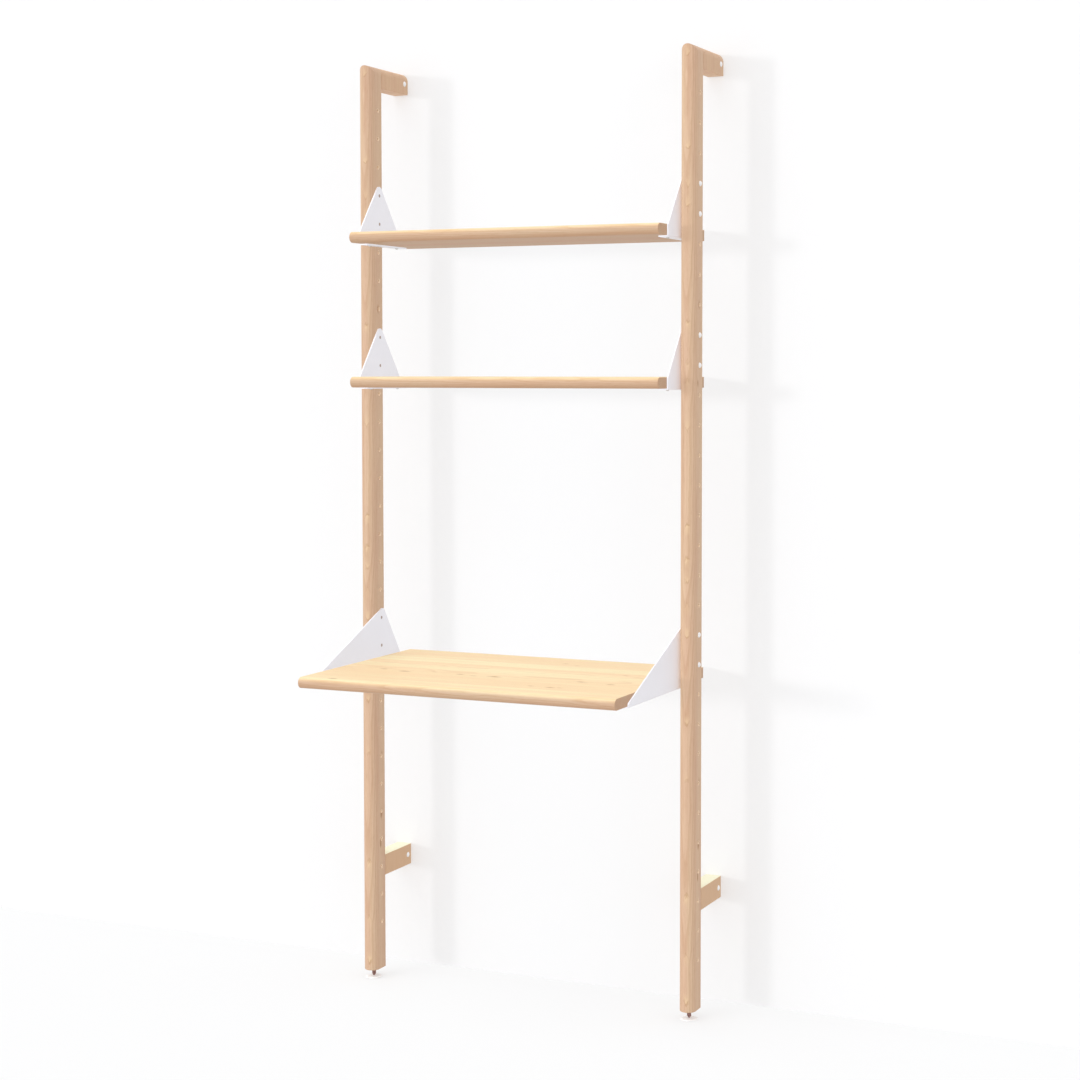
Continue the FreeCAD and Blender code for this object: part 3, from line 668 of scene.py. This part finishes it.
@dataclass(frozen=True)
class CoatFinish:
    """White powder coat: an even colour with a fine orange peel and soft differences in gloss."""

    colour: Colour = (0.848, 0.836, 0.88)
    shade: Colour = (0.80, 0.793, 0.832)
    cloud_scale: float = 9.0
    cloud_range: Span = (0.35, 0.8)
    cloud_share: float = 0.35
    speck_scale: float = 2600.0
    speck_range: Span = (0.62, 0.8)
    speck_share: float = 0.3
    peel_scale: float = 900.0
    peel_depth: float = 0.00006
    peel_strength: float = 0.3
    roughness: Span = (0.38, 0.5)
    gloss: float = 0.45
    bores: Optional[Bores] = None

    def build(self, name: str) -> Material:
        """Make the material.

        Args:
            name: The name of the material.

        Returns:
            The finished material.
        """
        graph = NodeGraph(bpy.data.materials.new(name))
        spot = graph.place()
        clouds = graph.noise(spot, self.cloud_scale, detail=3.0)
        clouds = graph.remap(clouds, *self.cloud_range, 0.0, self.cloud_share)
        specks = graph.noise(spot, self.speck_scale, detail=1.0)
        specks = graph.remap(specks, *self.speck_range, 0.0, self.speck_share)
        peel = graph.noise(spot, self.peel_scale, detail=2.0, roughness=0.55)
        colour = graph.mix(clouds, self.colour, self.shade)
        colour = graph.mix(specks, colour, self.shade)
        if self.bores is not None:
            colour = self.bores.paint(graph, colour, graph.split(spot))
        return graph.finish({
            "Base Color": colour,
            "Roughness": graph.remap(peel, *NOISE_MIDDLE, *self.roughness),
            "Normal": graph.bump(peel, self.peel_depth, self.peel_strength),
            "Specular IOR Level": self.gloss,
        })


@dataclass(frozen=True)
class BoltFinish:
    """White coated heads on dark plated shanks, told apart by how far from the middle they lie."""

    head_from: float
    colour: Colour = (0.87, 0.86, 0.86)
    shank: Colour = (0.30, 0.22, 0.19)
    bright_share: float = 1.8
    tarnish_scale: float = 700.0
    tarnish_depth: float = 0.00004
    tarnish_strength: float = 0.3
    roughness: Span = (0.36, 0.48)

    def build(self, name: str) -> Material:
        """Make the material.

        Args:
            name: The name of the material.

        Returns:
            The finished material.
        """
        graph = NodeGraph(bpy.data.materials.new(name))
        spot = graph.place()
        outward = graph.sum_of("ABSOLUTE", graph.split(spot)["X"])
        head = graph.sum_of("GREATER_THAN", outward, self.head_from)
        tarnish = graph.noise(spot, self.tarnish_scale, detail=3.0)
        bright = tuple(part * self.bright_share for part in self.shank)
        shank = graph.mix(graph.remap(tarnish, *NOISE_UPPER), self.shank, bright)
        return graph.finish({
            "Base Color": graph.mix(head, shank, self.colour),
            "Roughness": graph.remap(tarnish, *NOISE_MIDDLE, *self.roughness),
            "Normal": graph.bump(tarnish, self.tarnish_depth, self.tarnish_strength),
        })


@dataclass(frozen=True)
class MetalFinish:
    """Bare or plated steel with fine brushed lines and uneven tarnish."""

    colour: Colour
    tarnish: Colour
    roughness: Span
    cloud_scale: float = 120.0
    line_waves: Point = (300.0, 300.0, 2600.0)
    line_depth: float = 0.00003
    line_strength: float = 0.35

    def build(self, name: str) -> Material:
        """Make the material.

        Args:
            name: The name of the material.

        Returns:
            The finished material.
        """
        graph = NodeGraph(bpy.data.materials.new(name))
        spot = graph.place()
        lines = graph.streaks(spot, self.line_waves, detail=3.0, roughness=0.6)
        clouds = graph.remap(graph.noise(spot, self.cloud_scale, detail=3.0), *NOISE_UPPER)
        return graph.finish({
            "Base Color": graph.mix(clouds, self.colour, self.tarnish),
            "Metallic": 1.0,
            "Roughness": graph.remap(lines, *NOISE_MIDDLE, *self.roughness),
            "Normal": graph.bump(lines, self.line_depth, self.line_strength),
        })


@dataclass(frozen=True)
class PlasticFinish:
    """Moulded white plastic with a fine spark texture and a trace of dust near the floor."""

    colour: Colour = (0.95, 0.95, 0.95)
    dust: Colour = (0.84, 0.83, 0.82)
    dust_level: float = 0.003
    dust_share: float = 0.4
    dust_scale: float = 260.0
    spark_scale: float = 2200.0
    spark_depth: float = 0.00005
    spark_strength: float = 0.35
    roughness: Span = (0.42, 0.58)

    def build(self, name: str) -> Material:
        """Make the material.

        Args:
            name: The name of the material.

        Returns:
            The finished material.
        """
        graph = NodeGraph(bpy.data.materials.new(name))
        spot = graph.place()
        spark = graph.noise(spot, self.spark_scale, detail=2.0, roughness=0.6)
        low = graph.remap(graph.split(spot)["Z"], 0.0, self.dust_level, self.dust_share, 0.0)
        dust = graph.times(low, graph.noise(spot, self.dust_scale, detail=3.0))
        return graph.finish({
            "Base Color": graph.mix(dust, self.colour, self.dust),
            "Roughness": graph.remap(spark, *NOISE_MIDDLE, *self.roughness),
            "Normal": graph.bump(spark, self.spark_depth, self.spark_strength),
        })


@dataclass(frozen=True)
class StageFinish:
    """A pale floor or wall that shows as near white, and still takes the object's soft shadow."""

    colour: Colour
    seen_colour: Colour
    glow: float
    one_sided: bool = False
    dust_scale: float = 3.0
    dust_range: Span = (0.3, 0.8)
    dust_share: float = 0.05
    dust_tone: float = 0.94

    def build(self, name: str) -> Material:
        """Make the material.

        Args:
            name: The name of the material.

        Returns:
            The finished material.
        """
        graph = NodeGraph(bpy.data.materials.new(name))
        seen = graph.seen()
        dust = graph.noise(graph.place(), self.dust_scale, detail=3.0)
        dust = graph.remap(dust, *self.dust_range, 0.0, self.dust_share)
        colour = graph.mix(dust, self.colour, tuple(self.dust_tone * part for part in self.colour))
        colour = graph.mix(seen, colour, self.seen_colour)
        matt = graph.add("BsdfDiffuse", feeds={0: colour}).outputs[0]
        glow = graph.add("Emission", feeds={0: WHITE, 1: 1.0}).outputs[0]
        share = graph.times(seen, self.glow)
        surface = graph.add("MixShader", feeds={0: share, 1: matt, 2: glow}).outputs[0]
        if self.one_sided:
            behind = graph.add("NewGeometry").outputs["Backfacing"]
            clear = graph.add("BsdfTransparent").outputs[0]
            surface = graph.add("MixShader", feeds={0: behind, 1: surface, 2: clear}).outputs[0]
        return graph.close("OutputMaterial", surface)


FRAME_TONE = WoodTone(
    light=(0.654, 0.472, 0.317), warm=(0.604, 0.39, 0.269), line=(0.80, 0.70, 0.62),
    fleck=(0.58, 0.42, 0.28), heart=(0.79, 0.60, 0.36), end=(0.86, 0.78, 0.70),
)
# A paler copy of the frame wood for the right upright: painted light that makes it read brighter
# than the left.
RIGHT_PAINTED_LIGHT_FRAME_TONE = replace(FRAME_TONE, light=(0.672, 0.485, 0.325), warm=(0.62, 0.401, 0.276))
# The upper arms' end tint above one lightens their tops and undersides: painted light on the tops.
UPPER_ARM_PAINTED_LIGHT_TONE = replace(
    FRAME_TONE, light=(0.678, 0.474, 0.308), warm=(0.624, 0.393, 0.259), end=(1.2, 1.17, 1.1),
)
# The lower arms' very pale light and warm colours are a painted highlight on their tops; the under
# tint brings the sides back to plain wood as painted shade.
LOWER_ARM_PAINTED_LIGHT_TONE = replace(
    FRAME_TONE, light=(0.915, 0.90, 0.69), warm=(0.905, 0.88, 0.655), line=(0.90, 0.85, 0.79),
    end=WHITE, under=(0.695, 0.462, 0.378),
)
# The boards' under tint is painted shade on their fronts and sides, and their below tint is painted
# shade on their undersides.
BOARD_TONE = WoodTone(
    light=(0.875, 0.773, 0.494), warm=(0.865, 0.654, 0.398), line=(0.84, 0.74, 0.63),
    fleck=(0.50, 0.30, 0.14), heart=(0.84, 0.64, 0.38), end=(0.88, 0.80, 0.76),
    under=(0.67, 0.59, 0.645), below=(0.97, 0.89, 0.84),
)
PLATED = MetalFinish(colour=(0.62, 0.62, 0.63), tarnish=(0.5, 0.5, 0.49), roughness=(0.26, 0.4))
DARK_STEEL = MetalFinish(
    colour=(0.36, 0.25, 0.235), tarnish=(0.46, 0.31, 0.28), roughness=(0.34, 0.5),
)
PLASTIC = PlasticFinish()
LOCK_COAT = CoatFinish(colour=(0.87, 0.865, 0.86))
FLOOR_FINISH = StageFinish(
    colour=(0.7, 0.7, 0.7), seen_colour=(0.80, 0.803, 0.81), glow=0.5,
)
WALL_FINISH = StageFinish(
    colour=(0.8, 0.8, 0.8), seen_colour=(0.83, 0.833, 0.843), glow=0.3, one_sided=True,
)


def dress(node: bpy.types.Object, material: Material, dims: bool = True) -> None:
    """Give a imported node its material.

    Args:
        node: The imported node.
        material: The material that it wears.
        dims: Whether it keeps soft light from its neighbours.
    """
    node.data.materials.clear()
    node.data.materials.append(material)
    node.visible_diffuse = dims
    LOG.info("dressed %s in %s", node.name, material.name)


def new_piece(name: str, mesh: Mesh, material: Material) -> bpy.types.Object:
    """Turn a finished mesh into a piece of the scene.

    Args:
        name: The name of the piece.
        mesh: Its mesh, which is used up.
        material: The material that it wears.

    Returns:
        The new piece.
    """
    data = bpy.data.meshes.new(name)
    mesh.to_mesh(data)
    mesh.free()
    data.materials.append(material)
    piece = bpy.data.objects.new(name, data)
    bpy.context.scene.collection.objects.link(piece)
    LOG.info("modelled %s with %d faces", name, len(data.polygons))
    return piece


@dataclass
class WoodFrame:
    """The two uprights and their wall arms."""

    nodes: Nodes
    spacing: float = 0.780
    front: float = 0.08125
    upright_rings: Rings = Rings((0.004, 0.084), spacing=0.0042, tilt=0.02, share=0.42)
    arm_heart_side: float = 0.05
    arm_ring_spacing: float = 0.0055
    upright_seed: float = 0.7
    arm_seed: float = 1.7
    dowel_seed: float = 5.0
    # The pale walls and rims of the upright holes are painted light that makes the holes read as
    # bright dots.
    bores: Bores = Bores(line=0.0305, rim_radius=0.0046, colour=(0.83, 0.655, 0.48))
    chevrons: Chevrons = Chevrons((
        (0.038, -1.0, 1.0), (0.146, 1.0, 0.5), (0.276, 1.0, 0.8), (0.521, -1.0, 0.5),
        (0.642, -1.0, 0.8), (0.832, -1.0, 0.9), (0.902, 1.0, 0.4), (0.947, -1.0, 0.7),
        (1.004, 1.0, 0.9), (1.073, 1.0, 1.0), (1.273, -1.0, 0.6), (1.380, 1.0, 0.4),
        (1.418, 1.0, 0.4), (1.505, 1.0, 0.8), (1.744, -1.0, 0.7), (1.787, -1.0, 0.5),
        (1.864, -1.0, 0.8), (2.060, -1.0, 0.7),
    ))
    flecks: Flecks = Flecks((
        (0.018, 0.027, 1.539, 1.0), (0.018, 0.020, 1.372, 0.8), (0.018, 0.030, 0.380, 1.0),
        (0.018, 0.026, 0.312, 0.9), (0.018, 0.033, 0.519, 0.7),
    ))

    def dress(self) -> None:
        """Dress both sides, each cut alike, the right upright in a paler copy of the wood as
        painted light, and the dowels between arms and uprights.
        """
        for side, sign, tone in (("left", -1.0, FRAME_TONE), ("right", 1.0, RIGHT_PAINTED_LIGHT_FRAME_TONE)):
            origin = (sign * self.spacing / 2.0, self.front, 0.0)
            upright = WoodFinish(
                tone, Grain.UPRIGHT, self.upright_rings, self.upright_seed, origin,
                chevrons=self.chevrons, flecks=self.flecks, bores=self.bores,
            )
            dress(self.nodes[f"{side}_upright"], upright.build(f"{side}_upright_wood"))
            self.dress_arm(f"{side}_lower_arm", LOWER_ARM_PAINTED_LIGHT_TONE, origin, heart_depth=-0.05)
            self.dress_arm(f"{side}_upper_arm", UPPER_ARM_PAINTED_LIGHT_TONE, origin, heart_depth=0.25)
        dowel = WoodFinish(FRAME_TONE, Grain.UPRIGHT, Rings((0.0, 0.0)), self.dowel_seed)
        dress(self.nodes["arm_dowels"], dowel.build("dowel_wood"))

    def dress_arm(self, name: str, tone: WoodTone, origin: Point, heart_depth: float) -> None:
        """Dress one arm.

        Args:
            name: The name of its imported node.
            tone: The colours of its wood.
            origin: The foot of its upright's front.
            heart_depth: How deep the heart of its log lies.
        """
        rings = Rings((self.arm_heart_side, heart_depth), spacing=self.arm_ring_spacing)
        arm = WoodFinish(tone, Grain.UPRIGHT, rings, self.arm_seed + heart_depth, origin)
        dress(self.nodes[name], arm.build(f"{name}_wood"))


@dataclass
class Boards:
    """The desk top and the two shelves, glued up from lengthwise staves.

    Each stave has its front edge and its tone, and each fleck its place on the desk and its weight.
    """

    nodes: Nodes
    desk_level: float = 0.745
    desk_rings: Rings = Rings((-0.02, 0.62), tilt=0.012)
    desk_seed: float = 2.3
    shelf_heart_side: float = 0.04
    shelf_ring_tilt: float = 0.014
    # The first stave of each board covers only the rounded front edge; its warmer tone is painted
    # shade on that edge.
    desk_staves: tuple[Spot, ...] = (
        (-0.300, 0.55), (-0.2462, 0.42), (-0.192, 0.78), (-0.022, 0.30), (0.028, 0.84),
        (0.073, 0.06), (0.133, 0.72),
    )
    shelf_staves: tuple[Spot, ...] = (
        (-0.300, 0.70), (-0.021, 0.50), (0.020, 0.30), (0.082, 0.80), (0.140, 0.14), (0.196, 0.66),
    )
    desk_flecks: tuple[Point, ...] = (
        (-0.2645, -0.0645, 0.85), (-0.2045, -0.0770, 1.2), (-0.1395, -0.0595, 0.7),
        (-0.0720, -0.0695, 0.9), (-0.0370, -0.0770, 0.65), (0.0105, -0.0720, 1.3),
        (0.2105, -0.0645, 1.05), (0.2830, -0.0745, 0.9), (0.1380, -0.1570, 0.75),
        (0.1830, -0.1595, 0.9), (0.2030, -0.1570, 0.6), (0.0680, 0.1680, 0.7),
        (0.1055, 0.1480, 0.6), (0.2630, 0.0555, 0.7), (-0.2920, -0.2340, 1.0),
    )

    def dress(self) -> None:
        """Dress the three boards."""
        flecks = Flecks(tuple((x, y, self.desk_level, weight) for x, y, weight in self.desk_flecks))
        desk = WoodFinish(
            BOARD_TONE, Grain.LENGTHWISE, self.desk_rings, self.desk_seed, staves=self.desk_staves,
            flecks=flecks,
        )
        dress(self.nodes["desk_top"], desk.build("desk_top_wood"), dims=False)
        for name, heart_level, seed in (("middle_shelf", 1.29, 3.1), ("top_shelf", 1.6, 4.7)):
            rings = Rings((self.shelf_heart_side, heart_level), tilt=self.shelf_ring_tilt)
            shelf = WoodFinish(
                BOARD_TONE, Grain.LENGTHWISE, rings, seed, staves=self.shelf_staves,
            )
            dress(self.nodes[name], shelf.build(f"{name}_wood"), dims=False)


@dataclass
class Brackets:
    """The folded white brackets under the boards, and what fastens them."""

    nodes: Nodes
    head_from: float = 0.4079
    bolt_holes: Bores = Bores(line=0.11175, rim_radius=0.0037, colour=(0.46, 0.37, 0.33))

    def dress(self) -> None:
        """Dress the brackets, their bolts and screws, and the hidden wall fittings."""
        coat = CoatFinish(bores=self.bolt_holes).build("bracket_coat")
        plated = PLATED.build("plated_steel")
        for name, node in self.nodes.items():
            if name.endswith("_wall_bracket") or name.endswith("_insert"):
                dress(node, plated)
            elif name.endswith("_bracket"):
                dress(node, coat, dims=False)
                node.visible_shadow = False
        dress(self.nodes["board_screws"], plated)
        bolt_coat = BoltFinish(self.head_from).build("bracket_bolt_coat")
        dress(self.nodes["bracket_bolts"], bolt_coat)
        lock_coat = LOCK_COAT.build("lock_bolt_coat")
        dress(self.nodes["arm_lock_bolts"], lock_coat)
        dress(self.nodes["arm_lock_nuts"], lock_coat)


@dataclass
class LevellingFoot:
    """One levelling foot: a thin white pad, and a dark threaded stud above a tapered tip.

    An outline is given by radius and height, the ridge of the thread in depths and pitches.
    """

    side: str
    pitch: float = 0.0015
    thread_depth: float = 0.0008
    ridge: tuple[Spot, ...] = ((-1.0, 0.0), (0.0, 0.42), (0.0, 0.58), (-1.0, 1.0))
    taper: float = 0.0042
    tip_radius: float = 0.0018
    thread_slices: int = 32
    pad_slices: int = 64
    sharp_from: float = 40.0
    pad_outline: tuple[Spot, ...] = (
        (0.0, 0.0), (0.0182, 0.0), (0.0188, 0.0005), (0.0188, 0.0013), (0.0180, 0.0021),
        (0.0150, 0.0027), (0.0060, 0.0031), (0.0045, 0.0035), (0.0030, 0.0035), (0.0024, 0.0026),
        (0.0, 0.0026),
    )

    @property
    def hair(self) -> float:
        """Return the distance under which two points are one."""
        return self.pitch / 100.0

    def build(self) -> None:
        """Model the threaded stud and the pad, and set each on its body."""
        node = f"{self.side}_foot_stud"
        steel = DARK_STEEL.build(f"{self.side}_stud_steel")
        stud = new_piece(f"{self.side}_threaded_stud", self.stud_mesh(node), steel)
        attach(stud, node)
        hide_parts(node)
        node = f"{self.side}_foot_pad"
        plastic = PLASTIC.build(f"{self.side}_pad_plastic")
        pad = new_piece(f"{self.side}_thin_pad", self.pad_mesh(node), plastic)
        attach(pad, node)
        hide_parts(node)

    def turned(self, outline: Sequence[Spot], slices: int, turns: int = 1,
               rise: float = 0.0) -> Mesh:
        """Turn an outline round the upright axis.

        Args:
            outline: Its points, by radius and height.
            slices: The steps of a full turn.
            turns: How many turns it makes.
            rise: How far it climbs with each turn.

        Returns:
            The mesh.
        """
        mesh = bmesh.new()
        points = [mesh.verts.new((radius, 0.0, height)) for radius, height in outline]
        edges = [mesh.edges.new(pair) for pair in zip(points, points[1:])]
        bmesh.ops.spin(
            mesh, geom=points + edges, cent=CENTRE, axis=UP, angle=FULL_TURN * turns,
            dvec=(0.0, 0.0, rise / slices), steps=slices * turns, use_merge=rise == 0.0,
        )
        bmesh.ops.remove_doubles(mesh, verts=mesh.verts[:], dist=self.hair)
        return mesh

    def pad_mesh(self, node: str) -> Mesh:
        """Turn the pad: a thin disc with a soft rim and a small collar for the stud's tip.

        Args:
            node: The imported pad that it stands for.

        Returns:
            The mesh.
        """
        low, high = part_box(node)
        mesh = self.turned(self.pad_outline, self.pad_slices)
        bmesh.ops.recalc_face_normals(mesh, faces=mesh.faces[:])
        for face in mesh.faces:
            face.smooth = True
        for edge in mesh.edges:
            edge.smooth = edge.calc_face_angle(0.0) < math.radians(self.sharp_from)
        foot = Vector(((low.x + high.x) / 2.0, (low.y + high.y) / 2.0, low.z))
        bmesh.ops.translate(mesh, verts=mesh.verts[:], vec=foot)
        return mesh

    def stud_mesh(self, node: str) -> Mesh:
        """Turn the stud: a spiral ridge between the taper and the top, closed at both ends.

        Args:
            node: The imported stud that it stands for.

        Returns:
            The mesh.
        """
        low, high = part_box(node)
        crest = (high.x - low.x) / 2.0
        start, top = low.z + self.taper, high.z
        below = start - 1.5 * self.pitch
        turns = math.ceil((top - start) / self.pitch) + 2
        ridge = [
            (crest + depths * self.thread_depth, pitches * self.pitch)
            for depths, pitches in self.ridge
        ]
        mesh = self.turned(ridge, self.thread_slices, turns, self.pitch)
        bmesh.ops.translate(mesh, verts=mesh.verts[:], vec=(0.0, 0.0, below))
        for level, outward in ((start, DOWN), (top, UP)):
            bmesh.ops.bisect_plane(
                mesh, geom=mesh.verts[:] + mesh.edges[:] + mesh.faces[:],
                plane_co=(0.0, 0.0, level), plane_no=outward, clear_outer=True,
            )
        self.close_ends(mesh, start, low.z)
        bmesh.ops.dissolve_degenerate(mesh, dist=self.hair, edges=mesh.edges[:])
        bmesh.ops.recalc_face_normals(mesh, faces=mesh.faces[:])
        axis = Vector(((low.x + high.x) / 2.0, (low.y + high.y) / 2.0, 0.0))
        bmesh.ops.translate(mesh, verts=mesh.verts[:], vec=axis)
        return mesh

    def close_ends(self, mesh: Mesh, start: float, bottom: float) -> None:
        """Close the top of the thread, and draw its lower end down to the tip.

        Args:
            mesh: The thread, open at both ends.
            start: The height of its lower end.
            bottom: The height of the tip.
        """
        rim = [edge for edge in mesh.edges if edge.is_boundary]
        near = self.pitch / 20.0
        lower = [edge for edge in rim if all(abs(end.co.z - start) < near for end in edge.verts)]
        upper = [edge for edge in rim if edge not in lower]
        bmesh.ops.edgeloop_fill(mesh, edges=upper)
        grown = bmesh.ops.extrude_edge_only(mesh, edges=lower)["geom"]
        for point in (item for item in grown if isinstance(item, bmesh.types.BMVert)):
            direction = Vector((point.co.x, point.co.y, 0.0)).normalized()
            point.co = direction * self.tip_radius + Vector((0.0, 0.0, bottom))
        tip = [item for item in grown if isinstance(item, bmesh.types.BMEdge)]
        bmesh.ops.edgeloop_fill(mesh, edges=tip)


@dataclass(frozen=True)
class SunLamp:
    """A far soft lamp.

    Its height above the horizon, its angle to the left of the front and its softness are degrees.
    """

    name: str
    strength: float
    height: float
    leftward: float
    softness: float
    shadow: bool = True

    def build(self) -> None:
        """Hang the lamp."""
        light = bpy.data.lights.new(self.name, "SUN")
        light.energy = self.strength
        light.angle = math.radians(self.softness)
        light.use_shadow = self.shadow
        lamp = bpy.data.objects.new(self.name, light)
        tilt = math.radians(90.0 - self.height)
        lamp.rotation_euler = (tilt, 0.0, math.radians(-self.leftward))
        bpy.context.scene.collection.objects.link(lamp)


@dataclass
class Studio:
    """The pale floor, the wall behind the unit, soft light and the camera."""

    wall: float = 0.2514
    reach: float = 14.0
    squares: int = 8
    world_strength: float = 0.85
    lamps: tuple[SunLamp, ...] = (
        SunLamp("low_key", 0.45, 4.5, 37.0, 6.0),
        SunLamp("high_key", 0.5, 60.0, 35.0, 40.0),
        SunLamp("left_fill", 0.57, 15.0, 35.0, 30.0, shadow=False),
        SunLamp("right_fill", 0.27, 8.0, -60.0, 30.0, shadow=False),
        SunLamp("top_fill", 0.52, 88.0, 0.0, 30.0, shadow=False),
    )
    sensor_width: float = 36.0
    lens: float = 69.29
    camera_place: Point = (1.98885, -4.02608, 1.40179)
    camera_pitch: float = 2.90
    camera_yaw: float = 23.89
    camera_shift: Spot = (-0.04745, -0.06071)

    def build(self) -> None:
        """Set up the stage, the light and the camera."""
        self.lay_floor()
        self.stand_wall()
        self.light()
        self.camera()
        bpy.context.scene.view_settings.view_transform = "Standard"

    def sheet(self, place: Matrix) -> Mesh:
        """Lay a large flat sheet on the floor and move it to its place.

        Args:
            place: Where it is moved to.

        Returns:
            The mesh.
        """
        mesh = bmesh.new()
        bmesh.ops.create_grid(
            mesh, x_segments=self.squares, y_segments=self.squares, size=self.reach, matrix=place,
        )
        return mesh

    def lay_floor(self) -> None:
        """Lay the floor."""
        floor = self.sheet(Matrix.Identity(4))
        pale_floor = FLOOR_FINISH.build("pale_floor")
        new_piece("floor", floor, pale_floor)

    def stand_wall(self) -> None:
        """Stand a wall behind the unit that only takes its shadow."""
        place = Matrix.Translation((0.0, self.wall, self.reach))
        back = self.sheet(place @ Matrix.Rotation(math.pi / 2.0, 4, "X"))
        pale_wall = WALL_FINISH.build("pale_wall")
        wall = new_piece("wall", back, pale_wall)
        wall.visible_diffuse = False
        wall.visible_glossy = False
        wall.visible_shadow = False

    def light(self) -> None:
        """Light the unit softly from all round, with most of the lamps at the front left."""
        graph = NodeGraph(bpy.data.worlds.new("studio"))
        feeds = {0: graph.seen(), 3: self.world_strength, 4: 1.0}
        strength = graph.add("MapRange", feeds=feeds).outputs[0]
        sky = graph.add("Background", feeds={"Color": WHITE, "Strength": strength}).outputs[0]
        bpy.context.scene.world = graph.close("OutputWorld", sky)
        for lamp in self.lamps:
            lamp.build()

    def camera(self) -> None:
        """Set the camera where the photograph was taken from."""
        data = bpy.data.cameras.new("camera")
        data.sensor_width = self.sensor_width
        data.lens = self.lens
        data.shift_x, data.shift_y = self.camera_shift
        camera = bpy.data.objects.new("camera", data)
        camera.location = self.camera_place
        tilt = math.radians(90.0 - self.camera_pitch)
        camera.rotation_euler = (tilt, 0.0, math.radians(self.camera_yaw))
        bpy.context.scene.collection.objects.link(camera)
        bpy.context.scene.camera = camera


def main() -> None:
    """Build the dressed desk and its studio."""
    logging.basicConfig(level=logging.INFO, format="%(message)s")
    for item in list(bpy.data.objects):
        bpy.data.objects.remove(item)
    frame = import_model()
    nodes = frame["nodes"]
    Studio().build()
    WoodFrame(nodes).dress()
    Boards(nodes).dress()
    Brackets(nodes).dress()
    for side in ("left", "right"):
        LevellingFoot(side).build()


if __name__ == "__main__":
    main()
